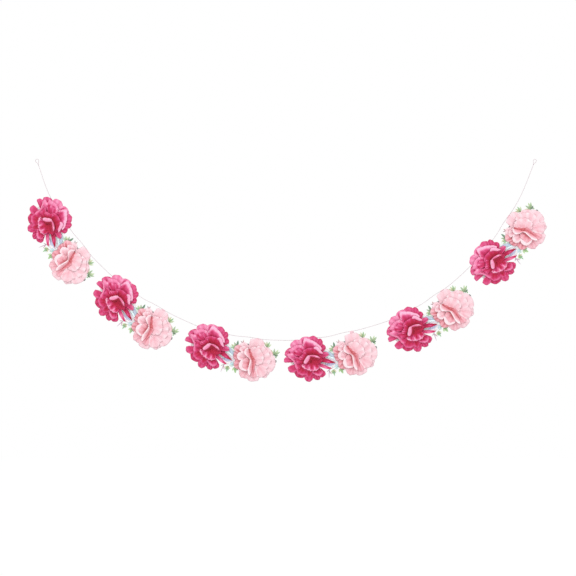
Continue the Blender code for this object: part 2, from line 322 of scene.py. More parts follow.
def sheet_place(tree):
    """Where a spot lies on its petal or leaf: across it and from its foot to its tip, 0 to 1."""
    unwrapped = add(tree, "ShaderNodeUVMap", uv_map="petal").outputs[0]
    outputs = add(tree, "ShaderNodeSeparateXYZ", Vector=unwrapped).outputs
    return outputs[0], outputs[1]


def off_middle(tree, across):
    """Distance from the line down the middle of a sheet: 0 on it and 1 at the sides."""
    return compute(tree, "ABSOLUTE", compute(tree, "MULTIPLY_ADD", across, 2.0, -1.0))


def emboss(tree, shader, strength, distance, height):
    """Relief on a surface, distance deep in metres."""
    bump = add(tree, "ShaderNodeBump", Strength=strength, Distance=distance, Height=height)
    tree.links.new(bump.outputs[0], shader.inputs["Normal"])


def petal_material(name, steps, crease_shade):
    """Crepe paper that is deep at a petal's foot and pale at its rim, partly as painted shade and a
    painted highlight. steps are (place, colour).
    """
    material, tree, shader = blank_material(name, 0.72)
    across, along = sheet_place(tree)
    tone = add(tree, "ShaderNodeAttribute", attribute_name="tone").outputs["Fac"]
    petal = add(tree, "ShaderNodeAttribute", attribute_name="petal").outputs["Fac"]
    creases = add(tree, "ShaderNodeGroup", node_tree=CREPE, Across=across, Along=along, Petal=petal)
    crease, streak = creases.outputs["Crease"], creases.outputs["Streak"]
    fibre = use_fibre(tree, 55.0)

    # The tone wanders in streaks, and a painted highlight makes it paler at the very sides of the petal
    edge = compute(tree, "POWER", off_middle(tree, across), 14.0)
    edge = compute(tree, "MULTIPLY", compute(tree, "MULTIPLY", edge, along), 0.16)
    wander = compute(tree, "MULTIPLY_ADD", streak, 0.30, -0.15)
    factor = compute(tree, "ADD", compute(tree, "ADD", tone, wander), edge)
    colour = colour_steps(tree, factor, steps)
    # Painted shade darkens the creases of the crepe
    shadow = compute(tree, "MULTIPLY_ADD", crease, -0.5, 0.5)
    colour = blend_colours(tree, shadow, colour, (*crease_shade, 1), "MULTIPLY")
    cloud = compute(tree, "MULTIPLY_ADD", fibre["Cloud"], 0.10, 0.95)
    colour = blend_colours(tree, 1.0, colour, cloud, "MULTIPLY")
    tree.links.new(colour, shader.inputs["Base Color"])
    rough = compute(tree, "MULTIPLY_ADD", crease, 0.2, 0.62)
    tree.links.new(rough, shader.inputs["Roughness"])
    shader.inputs["Sheen Weight"].default_value = 0.15

    emboss(tree, shader, 0.5, 0.0006, compute(tree, "MULTIPLY_ADD", fibre["Tooth"], 0.12, crease))
    return material


def leaf_material():
    """Leaf paper: each leaf has its own colour, a pale midrib and side veins."""
    material, tree, shader = blank_material("leaf paper", 0.7)
    across, along = sheet_place(tree)
    own = add(tree, "ShaderNodeAttribute", attribute_name="leaf_colour").outputs["Color"]
    fibre = use_fibre(tree, 140.0)
    aside = off_middle(tree, across)
    slant = compute(tree, "MULTIPLY_ADD", aside, -0.9, along)
    vein_wave = compute(tree, "SINE", compute(tree, "MULTIPLY", slant, 44.0))
    veins = compute(tree, "POWER", compute(tree, "MULTIPLY_ADD", vein_wave, 0.5, 0.5), 6.0)
    near_rib = compute(tree, "DIVIDE", 0.05, compute(tree, "ADD", aside, 0.03))
    rib = compute(tree, "SMOOTH_MIN", near_rib, 1.0, 0.2)
    cloud = compute(tree, "MULTIPLY", fibre["Cloud"], 0.6)
    darker = blend_colours(tree, cloud, own, (0.66, 0.68, 0.68, 1), "MULTIPLY")
    lit = compute(tree, "MULTIPLY_ADD", veins, 0.16, compute(tree, "MULTIPLY", rib, 0.35))
    colour = blend_colours(tree, lit, darker, (0.86, 0.9, 0.78, 1))
    tree.links.new(colour, shader.inputs["Base Color"])
    raised = compute(tree, "ADD", veins, rib)
    emboss(tree, shader, 0.35, 0.0003, compute(tree, "MULTIPLY_ADD", fibre["Tooth"], 0.15, raised))
    return material


def card_material(name, deeper, lighter):
    """Uncoated paper or card, faintly cloudy between two close colours."""
    material, tree, shader = blank_material(name, 0.8)
    fibre = use_fibre(tree, 45.0)
    colour = blend_colours(tree, fibre["Cloud"], (*deeper, 1), (*lighter, 1))
    tree.links.new(colour, shader.inputs["Base Color"])
    emboss(tree, shader, 0.25, 0.0002, fibre["Tooth"])
    return material


def string_material():
    """Soft cotton string in pale pink and mauve, with loose fibres."""
    material, tree, shader = blank_material("cotton string", 0.85)
    place = add(tree, "ShaderNodeTexCoord").outputs["Object"]
    wisps = add(tree, "ShaderNodeTexNoise", Vector=place, Scale=4200.0, Detail=4.0)
    patches = add(tree, "ShaderNodeTexNoise", Vector=place, Scale=160.0, Detail=2.0)
    tones = ((0.35, shade(150, 122, 138)), (0.65, shade(184, 148, 158)))
    colour = colour_steps(tree, patches.outputs[0], tones)
    colour = blend_colours(tree, wisps.outputs[0], colour, (*shade(208, 182, 190), 1))
    tree.links.new(colour, shader.inputs["Base Color"])
    shader.inputs["Sheen Weight"].default_value = 0.3
    emboss(tree, shader, 0.5, 0.0001, wisps.outputs[0])
    return material


# Twisted string, made by one tree of geometry nodes for the string, the loops and the knots


def twist_tree():
    """Two plies that wind round each other along a curve."""
    sizes = [(name, "Float") for name in ("Ply Radius", "Twist Length", "Step")]
    inputs = (("Route", "Geometry"), *sizes, ("Material", "Material"))
    outputs = (("Geometry", "Geometry"),)
    tree, given, result = new_group("twisted plies", "GeometryNodeTree", inputs, outputs)
    ply_radius = given["Ply Radius"]
    route, step = given["Route"], given["Step"]
    sampled = add(tree, "GeometryNodeResampleCurve", mode="LENGTH", Curve=route, Length=step)
    along = add(tree, "GeometryNodeSplineParameter").outputs["Length"]
    turns = compute(tree, "MULTIPLY", compute(tree, "DIVIDE", along, given["Twist Length"]), math.tau)
    normal = add(tree, "GeometryNodeInputNormal").outputs[0]
    tangent = add(tree, "GeometryNodeInputTangent").outputs[0]
    side = compute_vector(tree, "CROSS_PRODUCT", tangent, normal)
    section = add(tree, "GeometryNodeCurvePrimitiveCircle", Resolution=PLY_SIDES, Radius=ply_radius)
    joined = tree.nodes.new("GeometryNodeJoinGeometry")
    for phase in (0.0, math.pi):
        angle = compute(tree, "ADD", turns, phase)
        parts = []
        for direction, operation in ((normal, "COSINE"), (side, "SINE")):
            reach = compute(tree, "MULTIPLY", compute(tree, operation, angle), ply_radius)
            parts.append(compute_vector(tree, "SCALE", direction, reach))
        offset = compute_vector(tree, "ADD", *parts)
        ply = add(tree, "GeometryNodeSetPosition", Geometry=sampled.outputs[0], Offset=offset)
        curve, profile = ply.outputs[0], section.outputs[0]
        skin = add(tree, "GeometryNodeCurveToMesh", Curve=curve, Profile_Curve=profile, Fill_Caps=True)
        tree.links.new(skin.outputs[0], joined.inputs[0])
    real = add(tree, "GeometryNodeRealizeInstances", Geometry=joined.outputs[0]).outputs[0]
    painted = add(tree, "GeometryNodeSetMaterial", Geometry=real, Material=given["Material"])
    tree.links.new(painted.outputs[0], result.inputs[0])
    return tree


TWIST = twist_tree()


def twisted(name, points, closed=False):
    """A mesh of two plies wound along these points."""
    curve = bpy.data.curves.new(name + "_route", "CURVE")
    curve.dimensions = "3D"
    spline = curve.splines.new("POLY")
    spline.points.add(len(points) - 1)
    for target, point in zip(spline.points, points):
        target.co = (*point, 1)
    spline.use_cyclic_u = closed
    guide = new_object(name + "_route", curve)
    winding = guide.modifiers.new("plies", "NODES")
    winding.node_group = TWIST
    sizes = {"Ply Radius": STRING_DIAMETER / 4, "Twist Length": TWIST_LENGTH, "Step": TWIST_STEP}
    for item in TWIST.interface.items_tree:
        if item.name in sizes:
            winding[item.identifier] = sizes[item.name]
        elif item.name == "Material":
            winding[item.identifier] = MATERIALS["string"]
    evaluated = guide.evaluated_get(bpy.context.evaluated_depsgraph_get())
    mesh = bpy.data.meshes.new_from_object(evaluated)
    bpy.data.objects.remove(guide)
    mesh.shade_smooth()
    return new_object(name, mesh)


def loop_points(hook, direction):
    """A drop-shaped loop that narrows towards its knot."""
    across = Vector((0, 1, 0)).cross(direction)
    points = []
    for step in range(LOOP_POINTS):
        angle = math.tau * step / LOOP_POINTS
        narrowing = 1 - LOOP_NARROWING * math.cos(angle)
        side = LOOP_WIDTH / 2 * math.sin(angle) * narrowing
        along = LOOP_LENGTH / 2 * (math.cos(angle) + 1) - STRING_DIAMETER / 2
        points.append(hook + direction * along + across * side)
    return points


def knot_points(centre, direction):
    """A pulled-tight overhand knot, as a closed trefoil."""
    across = Vector((0, 1, 0)).cross(direction)
    wide = (KNOT_DIAMETER - STRING_DIAMETER) / TREFOIL_SPAN
    long = (KNOT_LENGTH - STRING_DIAMETER) / TREFOIL_SPAN
    points = []
    for step in range(KNOT_POINTS):
        angle = math.tau * step / KNOT_POINTS
        x = math.sin(angle) + 2 * math.sin(2 * angle)
        y = math.cos(angle) - 2 * math.cos(2 * angle)
        z = -KNOT_RISE * math.sin(3 * angle)
        points.append(centre + across * x * wide + direction * y * long + Vector((0, z * wide, 0)))
    return points


def dress_string():
    """The string, its two loops and its two knots."""
    route, left, right = string_route()
    string = twisted("twisted_string", route)
    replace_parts(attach(string, "string"), "string")
    knot_middle = LOOP_LENGTH + GLUE_GAP + KNOT_LENGTH / 2
    ends = (("left", left, heading(LOOP_HEADINGS[0])), ("right", right, -heading(LOOP_HEADINGS[1])))
    for side, hook, direction in ends:
        loop = twisted(side + "_tied_loop", loop_points(hook, direction), closed=True)
        centre = hook + direction * knot_middle
        knot = twisted(side + "_tied_knot", knot_points(centre, direction), closed=True)
        for piece, node in ((loop, side + "_loop"), (knot, side + "_knot")):
            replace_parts(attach(piece, "string"), node)


# Petals. A petal is a sheet between its foot, near the flower's eye, and its rim. Lengths in mm.
# The rim and the feet are points of the plan, high and low their heights above the card. deep and
# light are the tones at foot and rim, 0 darkest and 1 palest, and fade is how late the tone turns.
# Besides the paper's own dye, the deep foot is partly painted shade in the hollow beneath the other
# petals and the pale rim partly a painted highlight.
# belly is how far the middle bulges and cup how far the two sides stand up. frill is the height of
# the ruffles and folds their number, curl how far the rim turns back, corner how round it is.
# A glow (place, width, amount) is a painted highlight, a paler stretch of the rim, its place from -1
# to 1 along it. lip is the share of the length that is turned over and pale, its paleness a painted
# highlight on the rolled edge, dusk how much the very rim darkens.

Sheet = namedtuple(
    "Sheet",
    "feet rim high deep light low fade belly cup frill folds curl corner glow lip dusk",
    defaults=(2, 1.6, 1.5, 0, 0.9, 3, 1.5, 0.14, (), 0.0, 0.0),
)
# Shared by all petals: the length that turns back where there is no lip, as a share; how late a
# petal rises and ruffles; how square its corners are; how far ruffles and curl shift it sideways;
# and how much painted light changes a ruffle's tone, crests painted paler and hollows deeper, how
# soft the edge of a lip is and where dusk begins
TURNED_SHARE = 0.25
RISE_POWER = 1.3
FRILL_POWER = 1.5
CORNER_POWER = 5
FRILL_REACH = 0.35
FRILL_SWAY = 0.6
CURL_REACH = 0.3
RUFFLE_PAINTED_LIGHT = 0.08
LIP_BLUR = 0.09
DUSK_START = 0.88
# Outline of a plain petal: turn and reach, as shares of its spread and its length
LOBE_SHARES = ((-1, 0.84), (-0.7, 0.96), (0, 1.0), (0.7, 0.96), (1, 0.84))
RING_STEP = 0.7


def smooth_path(points, share):
    """Point at this share, 0 to 1, of a smooth curve through the points."""
    last = len(points) - 1
    place = min(share * last, last - 1e-6)
    index = int(place)
    part = place - index
    a, b = points[index], points[index + 1]
    before, after = points[max(index - 1, 0)], points[min(index + 2, last)]
    return 0.5 * (
        2 * a
        + (b - before) * part
        + (2 * before - 5 * a + 4 * b - after) * part**2
        + (3 * a - before - 3 * b + after) * part**3
    )


def rise(value, start, end):
    """0 up to the start, 1 from the end on, smooth between."""
    share = min(max((value - start) / (end - start), 0), 1)
    return share * share * (3 - 2 * share)


def sheet_tone(sheet, across, along, wave):
    """Tone of a petal at a spot, 0 darkest and 1 palest."""
    tone = sheet.deep + (sheet.light - sheet.deep) * along**sheet.fade
    # Painted light on the ruffles: the crests paler and the hollows deeper
    tone += RUFFLE_PAINTED_LIGHT * sheet.frill * math.sin(wave) * along
    if sheet.lip:
        start = 1 - sheet.lip
        tone += (sheet.light - tone) * rise(along, start - LIP_BLUR, start + LIP_BLUR)
    # Painted highlights, paler stretches along the rim
    for place, width, amount in sheet.glow:
        tone += amount * math.exp(-(((across - place) / width) ** 2)) * along**FRILL_POWER
    return tone - sheet.dusk * rise(along, DUSK_START, 1.0)


def painted_light_tone(painted_patches, x, y):
    """Painted highlights and painted shade, as paler or deeper patches: centre, half sizes and turn of
    each, and how much it changes.
    """
    total = 0
    for left, up, width, height, degrees, amount in painted_patches:
        turn = math.radians(degrees)
        aside = ((x - left) * math.cos(turn) + (y - up) * math.sin(turn)) / width
        ahead = ((y - up) * math.cos(turn) - (x - left) * math.sin(turn)) / height
        total += amount * math.exp(-(aside**2 + ahead**2))
    return total


def add_sheet(form, layers, centre, sheet, steps, painted_patches, dice):
    """A grid laid between a petal's foot and rim, with the tone of each spot and its own number."""
    wide, long = steps
    made = bmesh.ops.create_grid(form, x_segments=wide, y_segments=long, size=1, calc_uvs=True)
    feet = [Vector(point) for point in sheet.feet]
    rim = [Vector(point) for point in sheet.rim]
    own, phase = dice.random(), dice.uniform(0, math.tau)
    turned = sheet.lip or TURNED_SHARE
    for vert in made["verts"]:
        across, along = vert.co.x, (vert.co.y + 1) / 2
        share = (across + 1) / 2
        foot, edge = smooth_path(feet, share), smooth_path(rim, share)
        outward = (edge - foot).normalized()
        side = Vector((-outward.y, outward.x))
        wave = sheet.folds * math.pi * across + phase
        turn = max(0.0, (along - 1 + turned) / turned)
        frill = sheet.frill * along**FRILL_POWER
        place = foot.lerp(edge, along * (1 - sheet.corner * abs(across) ** CORNER_POWER))
        place += outward * (FRILL_REACH * frill * math.cos(wave) + CURL_REACH * sheet.curl * turn)
        place += side * FRILL_SWAY * frill * math.sin(2 * wave)
        height = sheet.low + (sheet.high - sheet.low) * along**RISE_POWER
        height += sheet.belly * math.sin(math.pi * along) + sheet.cup * across**2 * along
        height += frill * math.sin(wave) - sheet.curl * turn**2
        vert.co = ((centre + place.x) * MM, place.y * MM, height * MM)
        tone = sheet_tone(sheet, across, along, wave)
        # Add the flower's painted highlights and painted shade
        vert[layers["tone"]] = tone + painted_light_tone(painted_patches, place.x, place.y)
        vert[layers["petal"]] = own


def lobe(eye, degrees, spread, base, reach):
    """Foot and rim of a plain rounded petal about the eye."""

    def at(turn, distance):
        angle = math.radians(degrees + turn)
        return eye[0] + distance * math.cos(angle), eye[1] + distance * math.sin(angle)

    feet = (at(-spread, base), at(spread, base))
    return feet, tuple(at(turn * spread, share * reach) for turn, share in LOBE_SHARES)


def ring(eye, turns, spread, base, reach, **look):
    """Plain petals round the eye, one at each turn, to fill in beneath or between the others."""
    sheets = []
    for index, turn in enumerate(turns):
        feet, rim = lobe(eye, turn, spread, base, reach)
        sheet = Sheet(feet, rim, **look)
        sheets.append(sheet._replace(high=sheet.high + RING_STEP * (index % 2)))
    return sheets


def petal_mesh(name, centre, groups, painted_patches, material, dice):
    """One mesh of several groups of sheets, (sheets, steps)."""
    form = bmesh.new()
    form.loops.layers.uv.new("petal")
    layers = {layer: form.verts.layers.float.new(layer) for layer in ("tone", "petal")}
    for sheets, steps in groups:
        for sheet in sheets:
            add_sheet(form, layers, centre, sheet, steps, painted_patches, dice)
    return finish_mesh(form, name, material)


def finish_mesh(form, name, material):
    """A smooth mesh of this form, in one material."""
    mesh = bpy.data.meshes.new(name)
    bmesh.ops.recalc_face_normals(form, faces=form.faces)
    form.to_mesh(mesh)
    form.free()
    mesh.shade_smooth()
    mesh.materials.append(material)
    return mesh


# Magenta flower, in mm from its centre

MAGENTA_CENTRE = -FLOWER_SPACING / 2 / MM
MAGENTA_OUTER = (
    Sheet(((-12, -6), (-14, 4)), ((-42, -6), (-56, -6.5), (-66, -5.5), (-68, -1), (-66, 7), (-62, 13)),
          5, 0.2, 0.64, glow=((-0.9, 0.3, -0.2),)),
    Sheet(((-12, 2), (-10, 12)), ((-56, 9), (-63, 15), (-63, 24), (-57, 32), (-51, 37), (-43, 40)),
          6.2, 0.52, 0.68, dusk=0.16),
    Sheet(((-8, 10), (0, 18)), ((-47, 35), (-45, 47), (-38, 55), (-29, 60), (-19, 60), (-10, 57)),
          5.2, 0.6, 0.86, dusk=0.14),
    Sheet(((0, 12), (10, 18)), ((-20, 55), (-12, 63.5), (0, 67.5), (9, 67), (15, 63), (16, 54)),
          6.6, 0.4, 0.94, corner=0.06, dusk=0.2),
    Sheet(((10, 14), (20, 16)), ((9, 60), (16, 66), (26, 68), (33, 65), (39, 59), (42, 50)),
          5.4, 0.36, 0.64, corner=0.06, dusk=0.16),
    Sheet(((16, 12), (26, 12)), ((36, 56), (43, 58), (50, 55.5), (53.5, 47), (53, 38)),
          6.6, 0.32, 0.54, corner=0.06, dusk=0.16),
    Sheet(((24, 10), (30, 4)), ((46, 45), (54, 40), (60, 34), (61.5, 28), (56, 21), (47, 17)),
          5.2, 0.28, 0.48, corner=0.08, dusk=0.1),
    Sheet(((28, 4), (30, -2)), ((46, 19), (56, 16.5), (64, 15), (69, 9), (66, 4), (57, 0), (48, -1)),
          7, 0.3, 0.66),
    Sheet(((26, -16), (20, -18)),
          ((40, -31), (48, -38.5), (54, -46), (53, -54), (46, -59.5), (38, -60), (30, -56)),
          6.4, 0.08, 0.48, corner=0.06),
    Sheet(((20, -16), (16, -18)), ((39, -58), (35, -66), (29, -67.5), (21, -65), (13, -58)),
          5, 0.16, 0.5, fade=1.4, corner=0.06, dusk=0.1),
    Sheet(((14, -16), (6, -16)), ((18, -58), (12, -66), (3, -70.5), (-5, -67.5), (-10, -60), (-12, -52)),
          6.8, 0.16, 0.6, fade=2.0, corner=0.06, dusk=0.1),
    Sheet(((4, -16), (-6, -12)),
          ((-4, -55), (-14, -56.5), (-24, -56.5), (-33, -52), (-38.5, -43), (-40, -33)),
          5.2, 0.12, 0.4, corner=0.08),
    Sheet(((-6, -14), (-12, -8)),
          ((-35, -38), (-45, -39), (-53, -36), (-57, -29), (-57.5, -22), (-52, -17), (-41, -15)),
          6.6, 0.2, 0.66, dusk=0.1),
)
MAGENTA_MIDDLE = (
    Sheet(((4, 10), (24, 10)),
          ((-9, 44), (-5, 56), (0, 62.5), (9, 61), (20, 55.5), (31, 48.5), (40, 40.5), (47, 32),
           (51, 26)),
          10.5, 0.24, 0.98, low=4, fade=3.0, belly=1, frill=1.0, folds=4, curl=2.5, corner=0.06, lip=0.19),
    Sheet(((-4, -14), (-6, -5)),
          ((-30, -32), (-35.5, -23), (-36.5, -12), (-40, -4), (-46, 3), (-53, 9), (-59, 14)),
          10, 0.2, 0.72, low=4, fade=3.4, belly=1, frill=0.8, folds=4, curl=2.0, corner=0.1,
          glow=((0.6, 0.5, 0.16),), lip=0.17),
    Sheet(((-8, -5), (-2, 6)),
          ((-45, 8), (-54, 11), (-56, 19), (-46, 23), (-51, 31), (-42, 37), (-31, 43), (-20, 45),
           (-11, 47)),
          11, 0.4, 0.82, low=5, fade=2.0, belly=1, frill=1.2, curl=2.0, corner=0.12, lip=0.14),
    Sheet(((-2, 4), (6, 12)), ((-36, 16), (-37, 26), (-30, 31), (-22, 33), (-14, 40), (-5, 40), (2, 31)),
          13, 0.26, 0.58, low=6, fade=2.2, belly=1, frill=1.3, folds=4, curl=2.0, corner=0.12),
    Sheet(((6, 8), (28, 6)), ((-12, 22), (-4, 29), (8, 32.5), (22, 33), (33, 33), (43, 24), (51, 14)),
          15, 0.14, 0.56, low=7, fade=3.0, belly=1, frill=1.0, folds=4, curl=2.0, corner=0.1),
    Sheet(((-4, -12), (4, -16)), ((-35, -28), (-30, -41), (-19, -48), (-5, -50)),
          9.5, 0.1, 0.58, low=4, fade=3.0, belly=1, frill=1.2, corner=0.12, lip=0.1),
    Sheet(((4, -16), (16, -18)), ((-8, -44), (0, -56), (8, -56), (17, -43)),
          8.6, 0.08, 0.62, low=4, fade=2.8, belly=1, frill=1.2),
    Sheet(((14, -18), (24, -16)), ((13, -44), (22, -50), (34, -55), (46, -47), (42, -33)),
          9.6, 0.08, 0.68, low=4, fade=2.8, belly=1, frill=1.3, folds=4, corner=0.12, lip=0.12),
    Sheet(((2, -8), (8, 4)), ((-32, -14), (-31, -2), (-34, 8), (-20, 8), (-12, 16)),
          13, 0.12, 0.54, low=7, fade=2.6, belly=1, frill=1.2),
    Sheet(((4, -4), (8, 6)), ((-22, 0), (-20, 9), (-13, 13), (-4, 24)),
          15, 0.12, 0.58, low=8, fade=2.6, belly=1, frill=1.1),
)
MAGENTA_SLIM = (
    Sheet(((40, 1), (37, -5), (35, -12)),
          ((53, -0.5), (65, -5), (77, -12), (87.5, -19), (77, -19), (66, -17.4), (52, -13)),
          11.5, 0.16, 0.42, low=4.5, fade=1.0, belly=0, cup=2.5, frill=0.3, folds=1, curl=0.5,
          corner=0.03),
    Sheet(((38, -15.5), (36, -20), (33, -25)),
          ((50, -20), (60, -25.5), (68, -30.5), (74, -35.5), (66, -36.5), (57, -34.5), (45, -29.5)),
          10, 0.3, 0.82, low=4.5, fade=0.8, belly=0, cup=2.5, frill=0.3, folds=1, curl=0.5, corner=0.03),
)
MAGENTA_BOWL = Sheet(
    ((0, -12), (12, -13.5), (26, -14.5), (37, -16)),
    ((-17, -17.5), (-12, -24.5), (-4, -30), (4, -34), (12, -36.5), (21, -37.5), (30, -36), (37.5, -30)),
    15, 0.12, 0.86, low=7, fade=1.2, belly=-1.0, frill=1.7, folds=7, corner=0.08, lip=0.13,
)
MAGENTA_ARCH = Sheet(
    ((12, -11), (15, -3), (24, 0), (36, -3)),
    ((-1.5, -12.5), (4, -7.5), (8.5, -0.5), (11, 5.5), (14, 7.5), (22, 6), (30, 3), (38, 0)),
    18, 0.02, 0.22, low=9, fade=1.8, belly=0.5, frill=0.5, folds=2, curl=0, corner=0.02,
)
# Rolled rims, pale all over as a painted highlight on the rolled edges
MAGENTA_LIPS = (
    Sheet(((-3, -13.5), (3, -8.5), (8, -1.5), (10.5, 5), (13, 9)),
          ((-8.5, -11), (-7, -4.5), (-2.5, 1.5), (1, 7), (6, 11.5)),
          18.5, 0.78, 0.94, low=18.5, fade=0.8, belly=1.2, frill=0.3, folds=2, curl=2.5, corner=0.08),
    Sheet(((9, 9), (19, 7), (28, 3.8), (39, 0)), ((7, 11), (18, 11.5), (28, 9.5), (36, 6), (41, 0.5)),
          18, 0.62, 0.74, low=18, fade=0.8, belly=1.0, frill=0.3, folds=2, curl=2.0, corner=0.04,
          glow=((0.35, 0.3, 0.34),)),
    Sheet(((24.5, 30), (31, 27), (37, 20), (43, 14.5), (50, 12.5)),
          ((25.5, 33), (31, 36), (38.5, 33), (44.5, 24), (50.5, 14)),
          14.5, 0.84, 1.0, low=14.5, fade=0.8, belly=1.2, frill=0.3, folds=2, curl=2.0, corner=0.06),
)
MAGENTA_CAVITY = (
    Sheet(((8, -3), (11, 4)), ((42, -5), (43, -1), (31, 4), (18, 7)),
          10.8, 0.1, 0.28, low=7, fade=1.5, belly=0, frill=0.6, folds=4, curl=0.5, corner=0.1),
    Sheet(((6, -9), (9, -2)), ((42, -13), (49, -9.5), (49, -5), (40, -1)),
          9.6, 0.1, 0.32, low=6, fade=1.5, belly=0, frill=0.6, folds=4, curl=0.5),
    Sheet(((5, -13), (7, -8)), ((32, -18), (40, -16), (45, -13), (41, -9)),
          10.2, 0.06, 0.28, low=6.5, fade=1.5, belly=0, frill=0.6, folds=4, curl=0.5),
)
# Painted shade in the pits between the ruffles, and painted highlights on their crests
MAGENTA_PAINTED_LIGHT = (
    (-47, 23, 3.5, 2.5, 0, -0.4), (-34, 23, 3, 4, 0, -0.35), (-7, 54, 3, 6, 0, -0.4),
    (-28, 27, 5, 3, 0, 0.25), (-17, 25, 7, 3, -20, 0.2), (-9, 35, 7, 3, -55, 0.28),
    (-14, 7, 5, 3, -15, 0.3), (-23, 4, 11, 1.8, -36, 0.25), (-24, 10, 5, 2.2, -20, -0.2),
    (-42, 18, 4, 2.5, 0, 0.2), (-5, 45, 8, 3, 0, -0.1), (22, 41, 6, 3, 0, 0.12),
    (66, -13.5, 7, 1.8, -18, 0.42), (80, -17, 8, 4, -18, -0.5), (52, -27, 8, 2.5, -32, 0.2),
    (68, -34, 7, 3, -15, -0.5), (14, -28, 3, 7, 0, -0.4), (-3, -25, 3, 3.5, 20, -0.35),
    (31, -26, 3, 6, 30, -0.3), (6, -25, 2.2, 8, 5, 0.3), (23, -28, 2.2, 8, 20, 0.32),
    (-9, -24, 4, 2.5, -35, 0.3), (38, -24, 2, 6, 40, 0.2), (-48, -24, 6, 5, 0, -0.15),
    (30, -49, 10, 2.6, -22, 0.25), (17, -52, 4, 4, 0, -0.25), (5, -46, 3, 6, 0, -0.2),
    (-18, -45, 9, 2.6, -20, 0.15),
)


def magenta_flower(dice):
    """Outer petals, middle petals and heart."""
    # Three petals beneath are left out, where they would show between the rims
    turns = [5 + 24 * index for index in range(15) if index not in (8, 13, 14)]
    under = ring((4, -2), turns, 15, 10, 54, high=3.0, deep=0.15, light=0.4, low=1.2, frill=0.6)
    turns = [20 + 360 / 11 * index for index in range(9)]
    base = ring((12, -4), turns, 24, 8, 37, high=8.5, deep=0.08, light=0.35, low=4.0)
    turns = range(0, 360, 45)
    heart = ring((12, -8), turns, 28, 0.8, 8, high=7.5, deep=0.0, light=0.20, low=5.5, frill=0.5)
    material = MATERIALS["magenta"]
    outer = ((under, (10, 8)), (MAGENTA_OUTER, (28, 15)))
    middle = ((base, (12, 8)), (MAGENTA_MIDDLE, (36, 20)), (MAGENTA_SLIM, (20, 16)))
    inner = (
        ((MAGENTA_BOWL,), (56, 20)),
        ((MAGENTA_ARCH,), (40, 10)),
        (MAGENTA_LIPS, (36, 8)),
        (MAGENTA_CAVITY, (20, 14)),
        (heart, (10, 8)),
    )
    return [
        petal_mesh(name, MAGENTA_CENTRE, groups, MAGENTA_PAINTED_LIGHT, material, dice)
        for name, groups in (
            ("magenta outer petals", outer),
            ("magenta middle petals", middle),
            ("magenta heart", inner),
        )
    ]


# Pale flower, in mm from its centre

PALE_CENTRE = FLOWER_SPACING / 2 / MM
PALE_OUTER = (
    Sheet(((-14, 16), (0, 8)),
          ((-27, 34), (-28.5, 49), (-27, 60), (-17, 63.5), (-5, 65.5), (6, 67), (12, 62.5), (17, 54),
           (22, 44)),
          6, 0.55, 0.76, corner=0.04, dusk=0.02),
    Sheet(((-4, 8), (4, 2)), ((10, 48), (21, 50), (33, 48), (43, 42.5), (50, 34), (54, 28)),
          5, 0.52, 0.74, dusk=0.02),
    Sheet(((2, 4), (6, -4)), ((46, 34), (56, 29), (62.5, 19), (66, 6), (65.5, -8), (61, -18), (54, -27)),
          6.2, 0.52, 0.78, dusk=0.02),
    Sheet(((6, -4), (6, -12)),
          ((58, -14), (57, -25), (53, -33), (51, -39), (45, -42.5), (37, -42), (28, -36)),
          5, 0.5, 0.72, dusk=0.02),
    Sheet(((6, -12), (0, -14)),
          ((34, -36), (32, -46), (29, -56), (20, -61), (10, -64), (2, -64.5), (-4, -60)),
          6, 0.2, 0.74, glow=((0.0, 0.4, 0.1),), dusk=0.05),
    Sheet(((0, -12), (-8, -10)),
          ((2, -60), (-8, -62), (-15, -60.5), (-22, -61.5), (-29, -54), (-34, -45), (-39, -38)),
          5, 0.38, 0.56, dusk=0.05),
    Sheet(((-8, -10), (-12, -6)),
          ((-35, -44), (-43, -40.5), (-50, -37), (-54, -30), (-54.5, -20), (-52, -12)),
          6.4, 0.14, 0.36),
    Sheet(((-12, -6), (-12, 2)), ((-50, -18), (-57, -15), (-62, -8), (-64, 0), (-64.5, 8), (-58, 14)),
          5, 0.12, 0.32),
    Sheet(((-14, 0), (-14, 10)), ((-58, 6), (-66, 12), (-67.5, 20), (-64, 27), (-56, 32), (-47, 30)),
          6.4, 0.18, 0.5),
    Sheet(((-14, 8), (-16, 16)), ((-57, 26), (-55, 35), (-48, 41), (-41, 44.5), (-33, 41), (-27, 30)),
          5.4, 0.35, 0.84),
)
